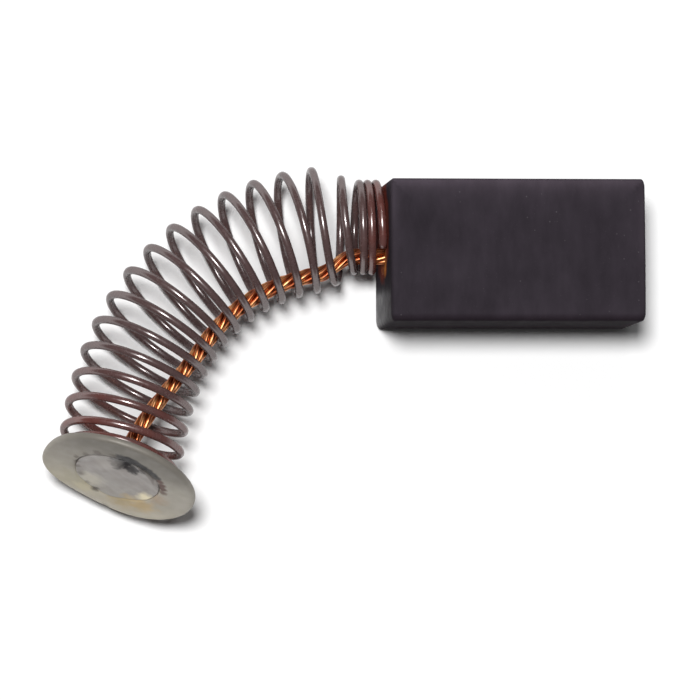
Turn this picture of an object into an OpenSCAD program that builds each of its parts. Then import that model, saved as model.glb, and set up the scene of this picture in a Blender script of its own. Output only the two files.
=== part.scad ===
// Carbon brush with a bent coil spring round its copper shunt, and a round terminal cap.
//
// The graphite block lies flat on z = 0, long way along X, with its contact end at +X.
// The spring leaves the block's rear face towards -X and bows round towards -Y. The
// stranded shunt runs inside it, against the inner side of the bow, from the block's
// tamped hole to the cap. The origin is the centre of the block's underside.
// All sizes are in millimetres.

/* [Block] */
// Length of the graphite block, from rear face to contact face
block_l = 14.3; // [12:0.1:20]
// Width of the block, which is square in section
block_w = 7.94; // [7.6:0.02:10]
// Bevel along the block's four long edges
long_bevel = 0.5; // [0.2:0.05:0.8]
// Bevel round the two end faces
end_bevel = 0.25; // [0.1:0.05:0.5]
// How far the middle of the contact face stands out
face_crown = 0.17; // [0.05:0.01:0.4]
// Diameter of the hole that the shunt is tamped into
tamp_d = 2.1; // [1.8:0.1:2.4]
// Depth of that hole
tamp_depth = 3.2; // [2:0.1:6]
// How far the tamped copper is dished round the shunt
tamp_dish = 0.15; // [0.05:0.05:0.4]

/* [Spring] */
// Diameter of the spring wire
wire_d = 0.45; // [0.3:0.01:0.5]
// Mean radius of the closed coils at the block
seat_r = 2.45; // [2.4:0.01:2.6]
// Mean radius of the open coils
coil_r = 3.334; // [3.32:0.001:3.5]
// Turns that are closed against the block
closed_turns = 2.42; // [2:0.01:4]
// Turns over which the coils open out to the full pitch
open_out_turns = 0.93; // [0.8:0.01:2]
// Turns over which the coils widen to the full radius
widen_turns = 1.85; // [1:0.01:2]
// Advance of an open coil along the spring's axis
open_pitch = 1.3828; // [1:0.0005:1.6]
// Turns at the full pitch
open_turns = 14.82; // [10:0.01:16]
// Part of a turn that lies flat on the cap
flat_turns = 0.5; // [0.3:0.05:0.5]
// Slant of the closed coils, in degrees, with their underside towards the block
closed_slant = 3; // [0:0.1:5]
// Further slant of the first coil that stands open, in degrees
opening_slant = 7.3; // [0:0.1:9]
// Side step of the closed coils from the middle of the block
seat_side = 1.53; // [1:0.01:1.6]
// Height of the spring's axis where it leaves the block
seat_height = 3.85; // [3.7:0.01:4.1]

/* [Bow] */
// Direction in which the spring leaves the block, in degrees off the block's axis
start_yaw = 0.1; // [-5:0.1:8]
// Straight length of the axis before the bend starts
lead_l = 1.2; // [0:0.01:3]
// How far the spring's axis turns from block to cap, in degrees
bow_angle = 81.8; // [50:0.1:88]
// Share of the bend that comes early rather than late
bow_bias = 0.313; // [0:0.001:0.8]
// How evenly the bend is spread on each side of the middle
bow_skew = -0.514; // [-1:0.001:1]
// How far the coils lean back against the bend, towards the cap, in degrees
coil_lean = 10.5; // [0:0.1:12]
// Dip of the axis where it leaves the block, in degrees
start_dip = 0.3; // [0:0.01:8]
// Rise of the axis gained by the time it reaches the cap, in degrees
end_rise = 12.8; // [8:0.5:20]

/* [Shunt] */
// Diameter of one twisted bundle of fine copper wires
bundle_d = 0.29; // [0.2:0.01:0.3]
// Length of one twist of the bundles round each other
lay_length = 6.5; // [5:0.1:9]
// How far the shunt lies off the spring's axis round the middle of the bow
hug_offset = 2.5; // [2:0.05:2.6]

/* [Cap] */
// Diameter of the cap's flange
cap_d = 9; // [8.4:0.1:10]
// Thickness of the cap's sheet
cap_t = 0.45; // [0.3:0.05:0.5]
// Inner diameter of the pressed cup in the middle of the cap
cup_d = 4.8; // [4.4:0.1:5]
// Depth of the cup, from the flange's outer face to its floor
cup_depth = 0.95; // [0.8:0.05:1.2]
// Yaw of the cap's axis, in degrees off the block's axis
cap_yaw = -69.3; // [-80:0.1:-40]
// Upward tilt of the cap's outer face, in degrees
cap_tilt = 21.8; // [10:0.1:25]
// How far the cap sits off the spring's axis, towards the inside of the bow
cap_shift = 0.23; // [0:0.01:0.24]
// Depth of the solder's surface below the flange's outer face
solder_sink = 0.3; // [0.1:0.05:0.5]

/* [Hidden] */
BUNDLES = 6;
BUNDLE_NAMES = [for (i = [1:BUNDLES]) str("shunt_bundle_", i)];

CARBON = "#38343a";
STEEL = "#6b5d5c";
COPPER = "#c8703a";
TAMPED = "#a85a32";
PLATING = "#9a968c";
SOLDER = "#8f8b92";

rear_x = -block_l / 2;
wire_r = wire_d / 2;
bundle_r = bundle_d / 2;
// The bundles stand round the core with a hair of room, so that none cuts another.
rope_mean_r = 2.1 * bundle_r;
rope_r = rope_mean_r + bundle_r;

seat_gap = 0.012;
closed_pitch = wire_d * 1.05;
flat_ramp = 0.3;
// Turns over which the closed slant comes in, and over which the further slant waits
// past the closed coils, comes in and fades out again
slant_in = 0.38;
slant_wait = 0.11;
slant_rise = 0.7;
slant_fade = 2.48;
widen_delay = 0.25;
turns = closed_turns + open_out_turns + open_turns + flat_ramp + flat_turns;
// Angle of the wire's cut end at the block, from the bow's outer side upwards
wire_start = 121.3;
// Length of axis over which the coils turn square to the cap
square_up = open_pitch;
// Room between the shunt and the closed coils, the solder, the tamping and the cap
shunt_room = 0.12;
solder_room = 0.03;
tamping_room = 0.02;
cap_room = 0.08;

// Points of the spring's axis are summed in steps of this length.
axis_step = 0.08;

coil_segments = 22;
wire_sides = 7;
bundle_sides = 6;
segments_per_lay = 12;

function clamp01(x) = max(0, min(1, x));
function smooth(x) = let (u = clamp01(x)) u * u * (3 - 2 * u);
function mix(a, b, k) = a + (b - a) * k;
// Running total of a ramp that climbs from 0 to 1 over the given width
function ramp_sum(x, width) = x < 0 ? 0 : x < width ? x * x / (2 * width) : x - width / 2;

// --- The spring's axis -------------------------------------------------------------

// Distance along the axis after a number of turns of wire
function advance(turn) =
    let (flat_from = turns - flat_turns - flat_ramp)
    closed_pitch * turn
    + (open_pitch - closed_pitch) * ramp_sum(turn - closed_turns, open_out_turns)
    - open_pitch * ramp_sum(turn - flat_from, flat_ramp);

axis_l = advance(turns);

function axis_share(s) = clamp01(s / axis_l);
// The first coil lies square on the block, and the closed coils take up the first slant.
function settled(s) = smooth(s / (closed_turns * closed_pitch));
function bend_share(s) = clamp01((s - lead_l) / (axis_l - lead_l));
function bent(t) = t + bow_bias * t * (1 - t) + bow_skew * t * (1 - t) * (1 - 2 * t);
function squared_up(s) = smooth((s - axis_l + square_up) / square_up);
function yaw_at(s) =
    mix(start_yaw * settled(s) - bow_angle * bent(bend_share(s)), cap_yaw, squared_up(s));
function pitch_at(s) =
    mix(end_rise * pow(axis_share(s), 2) - start_dip * settled(s), cap_tilt, squared_up(s));

// Unit vectors of the frame that travels along the axis
function along(a, e) = [-cos(a) * cos(e), sin(a) * cos(e), sin(e)];
function outward(a) = [sin(a), cos(a), 0];
function upward(a, e) = [cos(a) * sin(e), -sin(a) * sin(e), cos(e)];

axis_start = [rear_x - wire_r - seat_gap, seat_side, seat_height];
AXIS = [
    for (i = 0, p = axis_start;
         i * axis_step < axis_l + 2 * axis_step;
         p = p + axis_step * along(yaw_at((i + 0.5) * axis_step), pitch_at((i + 0.5) * axis_step)),
         i = i + 1)
    p
];

function axis_point(s) =
    let (k = s / axis_step, i = min(floor(k), len(AXIS) - 2))
    mix(AXIS[i], AXIS[i + 1], k - i);

// --- Sweeping ----------------------------------------------------------------------

// Closed tube through equal rings of points, one ring after the other. The points of a
// ring run clockwise, seen by one who travels along the tube.
module tube(rings) {
    n = len(rings[0]);
    last = len(rings) - 1;
    polyhedron(
        points = [for (ring = rings, p = ring) p],
        faces = concat(
            [[for (j = [0:n - 1]) j]],
            [for (i = [0:last - 1], j = [0:n - 1])
                let (a = i * n + j, b = i * n + (j + 1) % n)
                each [[a, a + n, b + n], [a, b + n, b]]],
            [[for (j = [n - 1:-1:0]) last * n + j]]
        ),
        convexity = 10
    );
}

// --- Spring ------------------------------------------------------------------------

function coil_radius(turn) =
    mix(seat_r, coil_r, smooth((turn - closed_turns - widen_delay) / widen_turns));
function lean_at(s) = coil_lean * pow(axis_share(s), 2) * (1 - squared_up(s));

function slant_at(turn) =
    let (past = turn - closed_turns - slant_wait)
    (closed_slant * smooth(turn / slant_in) + opening_slant * smooth(past / slant_rise))
        * (1 - smooth((past - slant_rise) / slant_fade));

function coil_ring(turn) =
    let (
        s = advance(turn),
        a = yaw_at(s) + lean_at(s),
        e = pitch_at(s) - slant_at(turn),
        angle = wire_start - 360 * turn,
        radial = cos(angle) * outward(a) + sin(angle) * upward(a, e)
    )
    [for (j = [0:wire_sides - 1])
        let (w = -360 * j / wire_sides)
        axis_point(s)
            + (coil_radius(turn) + wire_r * cos(w)) * radial
            + wire_r * sin(w) * along(a, e)];

module spring() {
    steps = ceil(turns * coil_segments);
    color(STEEL) tube([for (i = [0:steps]) coil_ring(turns * i / steps)]);
}

// --- Shunt -------------------------------------------------------------------------

// The shunt enters the hole this far off the axis of the closed coils.
entry_offset = seat_r - wire_r - rope_r - shunt_room;
hug_from = closed_turns * closed_pitch + 0.2;
hug_run = 2.4;
leave_from = 0.61 * axis_l;
// The shunt is in line with the cap where it reaches the cup's floor.
centred_at = axis_l + wire_r - cup_depth;

function leaving(s) =
    let (u = clamp01((s - leave_from) / (centred_at - leave_from)))
    u * u * (2 - u);
function shunt_offset(s) =
    mix(mix(entry_offset, hug_offset, smooth((s - hug_from) / hug_run)), cap_shift, leaving(s));

hole_mouth = axis_start - entry_offset * outward(0);
shunt_from = -(tamp_depth - wire_r - seat_gap);
shunt_to = centred_at + cap_t - solder_room;

// Centre of the shunt, by distance along the spring's axis, negative inside the block
function shunt_point(s) =
    s < 0
        ? [hole_mouth[0] - s, hole_mouth[1], hole_mouth[2]]
        : s < axis_l
            ? axis_point(s) - shunt_offset(s) * outward(yaw_at(s))
            : axis_point(axis_l) - shunt_offset(s) * outward(cap_yaw)
                + (s - axis_l) * along(cap_yaw, cap_tilt);

// Ring of one bundle that stands off the shunt's centre and winds round it
function bundle_ring(s, mean_r, phase) =
    let (
        a = s < 0 ? 0 : yaw_at(s),
        e = s < 0 ? 0 : pitch_at(s),
        angle = phase + 360 * s / lay_length,
        centre = shunt_point(s)
            + mean_r * (cos(angle) * outward(a) + sin(angle) * upward(a, e))
    )
    [for (j = [0:bundle_sides - 1])
        let (w = -360 * j / bundle_sides)
        centre + bundle_r * (cos(w) * outward(a) + sin(w) * upward(a, e))];

module bundle(mean_r, phase) {
    run = shunt_to - shunt_from;
    steps = ceil(run / lay_length * segments_per_lay);
    color(COPPER)
        tube([for (i = [0:steps]) bundle_ring(shunt_from + run * i / steps, mean_r, phase)]);
}

// --- Block -------------------------------------------------------------------------

// Outline of a rectangle with its four corners cut off
module bevelled(w, h, bevel) {
    polygon([
        [-w / 2 + bevel, -h / 2], [w / 2 - bevel, -h / 2],
        [w / 2, -h / 2 + bevel], [w / 2, h / 2 - bevel],
        [w / 2 - bevel, h / 2], [-w / 2 + bevel, h / 2],
        [-w / 2, h / 2 - bevel], [-w / 2, -h / 2 + bevel]
    ]);
}

module carbon_block() {
    overlap = 1;
    // Radius that leaves the contact face standing out by the crown at its middle
    crown_r = (pow(block_w / 2, 2) + pow(face_crown, 2)) / (2 * face_crown);
    color(CARBON)
        difference() {
            intersection() {
                translate([-block_l / 2, 0, block_w / 2])
                    rotate([90, 0, 90])
                        linear_extrude(block_l)
                            bevelled(block_w, block_w, long_bevel);
                linear_extrude(block_w)
                    bevelled(block_l, block_w, end_bevel);
                translate([0, block_w / 2, block_w / 2])
                    rotate([90, 0, 0])
                        linear_extrude(block_w)
                            bevelled(block_l, block_w, end_bevel);
                translate([block_l / 2 - crown_r, 0, -overlap])
                    cylinder(r = crown_r, h = block_w + 2 * overlap, $fn = 720);
            }
            translate([rear_x - overlap, hole_mouth[1], hole_mouth[2]])
                rotate([0, 90, 0])
                    cylinder(d = tamp_d, h = tamp_depth + overlap, $fn = 48);
        }
}

// Copper powder packed round the shunt, dished where the shunt leaves it
module tamping() {
    plug_r = tamp_d / 2;
    bore_r = rope_r + tamping_room;
    color(TAMPED)
        translate([rear_x + tamp_depth, hole_mouth[1], hole_mouth[2]])
            rotate([0, -90, 0])
                rotate_extrude($fn = 48)
                    polygon([
                        [bore_r, 0],
                        [plug_r, 0],
                        [plug_r, tamp_depth],
                        [bore_r, tamp_depth - tamp_dish]
                    ]);
}

// --- Cap ---------------------------------------------------------------------------

// Places a form so that its +Z runs out along the cap's axis, from the flange's back
module on_cap() {
    translate(axis_point(axis_l) - cap_shift * outward(cap_yaw) + wire_r * along(cap_yaw, cap_tilt))
        rotate([0, 90 - cap_tilt, 180 - cap_yaw])
            children();
}

function arc(centre, r, from, to, steps) =
    [for (i = [0:steps])
        let (w = from + (to - from) * i / steps)
        centre + r * [cos(w), sin(w)]];

module terminal_cap() {
    rim_r = cap_d / 2;
    cup_r = cup_d / 2;
    edge = cap_t * 0.45;
    bend = cap_t * 0.5;
    hole_r = rope_r + cap_room;
    back = -cup_depth;
    floor_z = back + cap_t;
    color(PLATING)
        on_cap()
            rotate_extrude($fn = 96)
                polygon(concat(
                    [[hole_r, back], [cup_r + cap_t - bend, back]],
                    arc([cup_r + cap_t - bend, back + bend], bend, -60, 0, 2),
                    [[cup_r + cap_t, 0]],
                    arc([rim_r - edge, edge], edge, -90, 0, 3),
                    arc([rim_r - edge, cap_t - edge], edge, 0, 90, 3),
                    arc([cup_r + bend, cap_t - bend], bend, 90, 180, 3),
                    [[cup_r, floor_z], [hole_r, floor_z]]
                ));
}

// Solder over the ends of the shunt, a little sunk in the cup
module solder_fill() {
    fill_r = cup_d / 2 - 0.01;
    floor_z = cap_t - cup_depth;
    top_z = cap_t - solder_sink;
    // The solder climbs the cup's wall a little, dips inside it and swells at the middle.
    climb = 0.05;
    dip = 0.02;
    swell = 0.06;
    color(SOLDER)
        on_cap()
            rotate_extrude($fn = 72)
                polygon([
                    [0, floor_z],
                    [fill_r, floor_z],
                    [fill_r, top_z + climb],
                    [fill_r * 0.85, top_z - dip],
                    [fill_r * 0.5, top_z + swell / 3],
                    [0, top_z + swell]
                ]);
}

// --- Assembly ----------------------------------------------------------------------

carbon_block();
tamping();
spring();
bundle(0, 0);  // shunt_core
for (i = [0:BUNDLES - 1])
    bundle(rope_mean_r, 360 * i / BUNDLES);
terminal_cap();
solder_fill();
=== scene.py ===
import itertools
import logging
import math
from dataclasses import dataclass
from enum import Enum
from functools import cache

import bmesh
import bpy
import numpy as np
from mathutils import Matrix, Vector


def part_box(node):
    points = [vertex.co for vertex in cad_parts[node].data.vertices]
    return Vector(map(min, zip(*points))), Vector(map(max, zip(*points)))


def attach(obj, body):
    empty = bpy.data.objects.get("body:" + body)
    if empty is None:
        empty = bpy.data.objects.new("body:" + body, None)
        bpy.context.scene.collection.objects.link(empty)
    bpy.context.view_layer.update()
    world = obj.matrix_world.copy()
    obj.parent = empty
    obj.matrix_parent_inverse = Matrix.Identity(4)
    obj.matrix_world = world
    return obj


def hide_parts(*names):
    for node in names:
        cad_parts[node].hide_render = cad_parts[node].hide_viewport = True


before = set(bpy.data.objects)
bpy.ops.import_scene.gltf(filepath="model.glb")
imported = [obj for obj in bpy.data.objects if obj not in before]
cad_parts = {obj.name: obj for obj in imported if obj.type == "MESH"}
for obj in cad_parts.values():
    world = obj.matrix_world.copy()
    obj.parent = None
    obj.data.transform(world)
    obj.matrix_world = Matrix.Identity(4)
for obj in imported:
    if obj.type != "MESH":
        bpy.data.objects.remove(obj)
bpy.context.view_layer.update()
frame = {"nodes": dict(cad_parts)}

MM = 0.001
BODY = "root"

Points = np.ndarray
Place = tuple[float, float, float]
Colour = tuple[float, float, float]
Faces = list[tuple[int, ...]]
Socket = bpy.types.NodeSocket
Material = bpy.types.Material
Piece = bpy.types.Object

log = logging.getLogger("carbon_brush")


# --- Small helpers ---


def smooth(x: Points) -> Points:
    """Ease from 0 to 1 as x goes from 0 to 1."""
    u = np.clip(x, 0.0, 1.0)
    return u * u * (3.0 - 2.0 * u)


def mix(a: Points, b: Points, k: Points) -> Points:
    """Blend from a, where k is 0, to b, where k is 1."""
    return a + (b - a) * k


def bell(x: Points, middle: float, width: float) -> Points:
    """Bell curve that is 1 at its middle."""
    return np.exp(-(((x - middle) / width) ** 2))


def ramp_sum(x: Points, width: float) -> Points:
    """Running total, at x, of a ramp that climbs from 0 to 1 over the width."""
    inside = np.clip(x, 0.0, width)
    return inside * inside / (2.0 * width) + np.maximum(x - width, 0.0)


def around(count: int) -> Points:
    """Angles at equal steps round a circle, in radians."""
    return np.linspace(0.0, 2 * math.pi, count, endpoint=False)


def linear(red: int, green: int, blue: int) -> Colour:
    """Linear colour of three screen values from 0 to 255."""
    shares = (value / 255.0 for value in (red, green, blue))
    return tuple(v / 12.92 if v <= 0.04045 else ((v + 0.055) / 1.055) ** 2.4 for v in shares)


def drift(x: Points, seed: int, waves: int = 4) -> Points:
    """Slow uneven wander between about -1 and 1.

    Args:
        x: Where it is taken, in units of its longest wave.
        seed: Picks one wander out of many.
        waves: How many waves are summed.

    Returns:
        The wander at each x.
    """
    draws = enumerate(np.random.default_rng(seed).random((waves, 2)), start=1)
    turns = ((k, k * (0.8 + 0.4 * rate) * x + phase) for k, (rate, phase) in draws)
    return sum(np.sin(2 * math.pi * turn) / k for k, turn in turns) / 1.6


def grid_faces(rings: int, sides: int, looped: bool = False) -> Faces:
    """Quads over rings of vertices that were written ring by ring.

    Args:
        rings: Number of rings.
        sides: Number of vertices in a ring.
        looped: Whether the last ring is joined to the first.

    Returns:
        The vertex numbers of each quad.
    """
    faces = []
    for i, j in itertools.product(range(rings if looped else rings - 1), range(sides)):
        here, there, after = i * sides, (i + 1) % rings * sides, (j + 1) % sides
        faces.append((here + j, here + after, there + after, there + j))
    return faces


def put_in_scene(name: str, data: bpy.types.ID) -> bpy.types.Object:
    """Add an object to the scene.

    Args:
        name: Name of the object.
        data: Its mesh, lamp or camera.

    Returns:
        The object.
    """
    made = bpy.data.objects.new(name, data)
    bpy.context.scene.collection.objects.link(made)
    return made


def new_piece(name: str, points: Points, faces: Faces) -> Piece:
    """Piece with smooth shading and outward normals.

    Args:
        name: Name of the piece and its mesh.
        points: Vertices in millimetres, one row each.
        faces: Vertex numbers of each face.

    Returns:
        The piece.
    """
    mesh = bpy.data.meshes.new(name)
    mesh.from_pydata([tuple(p) for p in points * MM], [], faces)
    form = bmesh.new()
    form.from_mesh(mesh)
    bmesh.ops.recalc_face_normals(form, faces=form.faces)
    for face in form.faces:
        face.smooth = True
    form.to_mesh(mesh)
    form.free()
    return put_in_scene(name, mesh)


def sweep(
    name: str, line: Points, first: Points, second: Points, radius: Points, sides: int
) -> Piece:
    """Round tube along a line, closed at both ends.

    Args:
        name: Name of the piece.
        line: The tube's middle line, in millimetres.
        first: The section's first axis at each point.
        second: Its second axis there.
        radius: One radius, or one for each point and side.
        sides: Number of vertices round the section.

    Returns:
        The piece.
    """
    w = around(sides)
    sideways = (radius * np.cos(w))[..., None] * first[:, None]
    upwards = (radius * np.sin(w))[..., None] * second[:, None]
    points = line[:, None] + sideways + upwards
    last = (len(line) - 1) * sides
    ends = [tuple(range(sides)), tuple(range(last + sides - 1, last - 1, -1))]
    return new_piece(name, points.reshape(-1, 3), grid_faces(len(line), sides) + ends)


def add_field(piece: Piece, name: str, values: Points) -> None:
    """Store one number or one vector at each vertex, for the materials to read."""
    kind, key = ("FLOAT_VECTOR", "vector") if values.ndim == 2 else ("FLOAT", "value")
    piece.data.attributes.new(name, kind, "POINT").data.foreach_set(key, np.ravel(values))


def dress(piece: Piece, material: Material) -> None:
    """Finish a piece in one material."""
    piece.data.materials.clear()
    piece.data.materials.append(material)


def present(piece: Piece, material: Material, node: str) -> None:
    """Dress a piece, ride it on the part and let it stand for its CAD node.

    Args:
        piece: The finished piece.
        material: What it is finished in.
        node: The CAD node that it stands for.
    """
    dress(piece, material)
    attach(piece, BODY)
    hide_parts(node)
    log.info("%s stands for %s, finished in %s", piece.name, node, material.name)


# --- Shader building ---


class NodeDesk:
    """Short ways to add and join nodes in one tree."""

    def __init__(self, tree: bpy.types.NodeTree) -> None:
        """Work on the given tree."""
        self.tree = tree

    def feed(self, socket: Socket, value: object) -> None:
        """Join a socket to another, or set its own value.

        Args:
            socket: The input that takes the value.
            value: An output socket, a number, a vector or a colour.
        """
        if isinstance(value, Socket):
            self.tree.links.new(value, socket)
        else:
            socket.default_value = (*value, 1.0) if socket.type == "RGBA" else value

    def result(
        self, kind: str, feeds: dict[int | str, object], output: int | str = 0, **settings: object
    ) -> Socket:
        """Add a node, feed it and take one of its outputs.

        Args:
            kind: Blender's name of the node type.
            feeds: What its inputs are given, by number or by name.
            output: Number or name of the output.
            settings: Properties of the node and their values.

        Returns:
            The output socket.
        """
        node = self.tree.nodes.new(kind)
        for name, value in settings.items():
            setattr(node, name, value)
        for key, value in feeds.items():
            self.feed(node.inputs[key], value)
        return node.outputs[output]

    def maths(self, operation: str, *values: object, clamp: bool = False) -> Socket:
        """Result of one arithmetic step, held between 0 and 1 if it is clamped."""
        feeds = dict(enumerate(values))
        return self.result("ShaderNodeMath", feeds, operation=operation, use_clamp=clamp)

    def stretch(
        self, value: Socket, low: float, high: float, to_low: float = 0.0, to_high: float = 1.0
    ) -> Socket:
        """Value carried smoothly from the range low to high to another range."""
        feeds = dict(enumerate((value, low, high, to_low, to_high)))
        return self.result("ShaderNodeMapRange", feeds, interpolation_type="SMOOTHSTEP")

    def blend(self, share: Socket, first: object, second: object) -> Socket:
        """Colour that goes from the first to the second as the share rises."""
        return self.result("ShaderNodeMix", {0: share, 6: first, 7: second}, 2, data_type="RGBA")

    def scaled(self, vector: Socket, factor: object) -> Socket:
        """Vector or colour times a factor."""
        feeds = {0: vector, "Scale": factor}
        return self.result("ShaderNodeVectorMath", feeds, operation="SCALE")

    def noise(
        self, place: Socket, scale: object, detail: float = 3.0, roughness: float = 0.5
    ) -> Socket:
        """Cloudy value from 0 to 1, with so many lumps to a millimetre."""
        feeds = {"Vector": place, "Scale": scale, "Detail": detail, "Roughness": roughness}
        return self.result("ShaderNodeTexNoise", feeds)

    def wander(self, place: Socket, scale: float, low: float, high: float) -> Socket:
        """Value that wanders between two ends, with so many lumps to a millimetre."""
        return self.stretch(self.noise(place, scale), 0.3, 0.7, low, high)

    def stored(self, name: str, output: str = "Fac") -> Socket:
        """Values that the mesh holds at its vertices."""
        return self.result("ShaderNodeAttribute", {}, output, attribute_name=name)

    def place_mm(self) -> Socket:
        """Place in the part's frame, in millimetres."""
        return self.scaled(self.result("ShaderNodeTexCoord", {}, "Object"), 1.0 / MM)

    def group(self, tree: bpy.types.NodeTree, **feeds: object) -> Socket:
        """Output of a shared node group that is given these inputs."""
        return self.result("ShaderNodeGroup", feeds, node_tree=tree)


def start_group(
    name: str, output: str, *inputs: str
) -> tuple[NodeDesk, bpy.types.NodeOutputs, Socket]:
    """Start a node group that puts out one number.

    Args:
        name: Name of the group.
        output: Name of its output.
        inputs: Names of its inputs, where Place and Centre are places.

    Returns:
        A desk for the tree, what the group is given, and the socket of its result.
    """
    tree = bpy.data.node_groups.new(name, "ShaderNodeTree")
    for label in inputs:
        kind = "NodeSocketVector" if label in ("Place", "Centre") else "NodeSocketFloat"
        tree.interface.new_socket(label, in_out="INPUT", socket_type=kind)
    tree.interface.new_socket(output, in_out="OUTPUT", socket_type="NodeSocketFloat")
    given = tree.nodes.new("NodeGroupInput").outputs
    return NodeDesk(tree), given, tree.nodes.new("NodeGroupOutput").inputs[output]


@cache
def mottle() -> bpy.types.NodeTree:
    """Shared effect: uneven cloudiness round 1, for multiplying into a colour.

    Returns:
        The group's tree.
    """
    desk, given, result = start_group("Mottle", "Factor", "Place", "Scale", "Strength")
    cloud = desk.noise(given["Place"], given["Scale"], 5.0, 0.6)
    swing = desk.maths("MULTIPLY", desk.maths("SUBTRACT", cloud, 0.5), given["Strength"])
    desk.feed(result, desk.maths("MULTIPLY_ADD", swing, 4.0, 1.0))
    return desk.tree


@cache
def specks() -> bpy.types.NodeTree:
    """Shared effect: small scattered grains, a mask that is 1 on a grain.

    Returns:
        The group's tree.
    """
    desk, given, result = start_group("Specks", "Mask", "Place", "Scale", "Size", "Share")
    feeds = {"Vector": given["Place"], "Scale": given["Scale"]}
    gap = desk.result("ShaderNodeTexVoronoi", feeds, "Distance")
    chance = desk.result("ShaderNodeSeparateColor", {0: gap.node.outputs["Color"]})
    near = desk.maths("LESS_THAN", gap, given["Size"])
    picked = desk.maths("LESS_THAN", chance, given["Share"])
    desk.feed(result, desk.maths("MULTIPLY", near, picked))
    return desk.tree


@cache
def ragged_patch() -> bpy.types.NodeTree:
    """Shared effect: soft ragged patch round a place, a mask that is 1 in its middle.

    Returns:
        The group's tree.
    """
    inputs = ("Place", "Centre", "Radius", "Soft", "Raggedness", "Grain")
    desk, given, result = start_group("Ragged patch", "Mask", *inputs)
    places = {0: given["Place"], 1: given["Centre"]}
    gap = desk.result("ShaderNodeVectorMath", places, "Value", operation="DISTANCE")
    wander = desk.maths("SUBTRACT", desk.noise(given["Place"], given["Grain"], 4.0), 0.5)
    pushed = desk.maths("MULTIPLY_ADD", wander, given["Raggedness"], gap)
    beyond = desk.maths("SUBTRACT", pushed, given["Radius"])
    share = desk.maths("DIVIDE", beyond, given["Soft"], clamp=True)
    desk.feed(result, desk.maths("SUBTRACT", 1.0, share))
    return desk.tree


class FinishDesk(NodeDesk):
    """Desk for a material that has one Principled shader."""

    def __init__(self, name: str) -> None:
        """Start the material.

        Args:
            name: Name of the material.
        """
        self.material = bpy.data.materials.new(name)
        self.material.use_nodes = True
        super().__init__(self.material.node_tree)
        self.tree.nodes.clear()
        self.shader = self.tree.nodes.new("ShaderNodeBsdfPrincipled")
        output = self.tree.nodes.new("ShaderNodeOutputMaterial")
        self.feed(output.inputs["Surface"], self.shader.outputs[0])

    def finish(self, **feeds: object) -> None:
        """Feed the shader's inputs by name, with _ for each space."""
        for name, value in feeds.items():
            self.feed(self.shader.inputs[name.replace("_", " ")], value)

    def mottled(self, colour: Socket, place: Socket, scale: float, strength: float) -> Socket:
        """Colour made cloudy, with so many clouds to a millimetre."""
        tone = self.group(mottle(), Place=place, Scale=scale, Strength=strength)
        return self.scaled(colour, tone)

    def raise_surface(self, height: Socket, distance_mm: float, strength: float) -> None:
        """Feed a height, where 1 stands distance_mm high, into the shader's normal."""
        feeds = {"Height": height, "Distance": distance_mm * MM, "Strength": strength}
        self.finish(Normal=self.result("ShaderNodeBump", feeds))


# --- Finishes ---


@dataclass(frozen=True)
class Stain:
    """One ragged stain or mark, with its sizes in millimetres."""

    centre: Place
    radius: float
    soft: float
    ragged: float
    grain: float
    colour: Colour
    strength: float

    def over(self, desk: FinishDesk, place: Socket, colour: Socket) -> Socket:
        """Colour of the surface at a place, with the stain laid over its own colour."""
        mask = desk.group(
            ragged_patch(),
            Place=place,
            Centre=self.centre,
            Radius=self.radius,
            Soft=self.soft,
            Raggedness=self.ragged,
            Grain=self.grain,
        )
        return desk.blend(desk.maths("MULTIPLY", mask, self.strength), colour, self.colour)


@dataclass(frozen=True)
class GraphiteFinish:
    """Pressed graphite: near black, matt, faintly mottled, with a few pale grains."""

    body: Colour = linear(49, 44, 50)
    # Painted highlight along the block's edges, lightest on the back edges, which face the lamp.
    edge_highlight: Colour = linear(84, 75, 84)
    grain: Colour = linear(84, 80, 84)
    # Painted shade for the front face, which lies in the block's own shadow.
    front: Colour = linear(33, 26, 32)
    smear: Colour = linear(126, 56, 40)
    gilt: Colour = linear(196, 122, 60)
    roughness: float = 0.75
    polished: float = 0.3
    sheen_level: float = 0.02
    mottle_strength: float = 0.16
    streak_squeeze: float = 0.35

    def material(self, seat: Place, seat_radius: float, spill: Place) -> Material:
        """Build the material.

        Args:
            seat: Middle of the spring's seat on the rear face, in millimetres.
            seat_radius: Radius of that seat, in millimetres.
            spill: Middle of the copper powder spilt over the hole, in millimetres.

        Returns:
            The graphite material.
        """
        desk = FinishDesk("Graphite")
        place = desk.place_mm()
        feeds = {"Vector": place, "Scale": (1.0, self.streak_squeeze, 1.0)}
        squeezed = desk.result("ShaderNodeMapping", feeds)
        # Painted shade on the front face, from the stored front share.
        colour = desk.blend(desk.stored("front"), self.body, self.front)
        # Painted highlight along the edges, from the stored share.
        colour = desk.blend(desk.stored("edge_highlight_share"), colour, self.edge_highlight)
        for scale, size, share, strength in ((2.4, 0.1, 0.16, 0.55), (7.0, 0.16, 0.12, 0.22)):
            mask = desk.group(specks(), Place=place, Scale=scale, Size=size, Share=share)
            colour = desk.blend(desk.maths("MULTIPLY", mask, strength), colour, self.grain)
        smear = Stain(seat, seat_radius, 0.7, 1.2, 1.3, self.smear, 0.75)
        gilt = Stain(spill, 0.4, 0.45, 0.8, 2.0, self.gilt, 0.9)
        colour = gilt.over(desk, place, smear.over(desk, place, colour))
        colour = desk.mottled(colour, squeezed, 1.3, self.mottle_strength)
        dull = desk.stretch(desk.stored("polish"), 0.0, 1.0, self.roughness, self.polished)
        desk.finish(
            Base_Color=desk.mottled(colour, place, 0.4, self.mottle_strength),
            Roughness=desk.maths("ADD", dull, desk.wander(place, 1.6, -0.04, 0.06)),
            Specular_IOR_Level=self.sheen_level,
        )
        desk.raise_surface(desk.noise(place, 14.0, 4.0, 0.65), 0.006, 0.4)
        return desk.material


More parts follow.
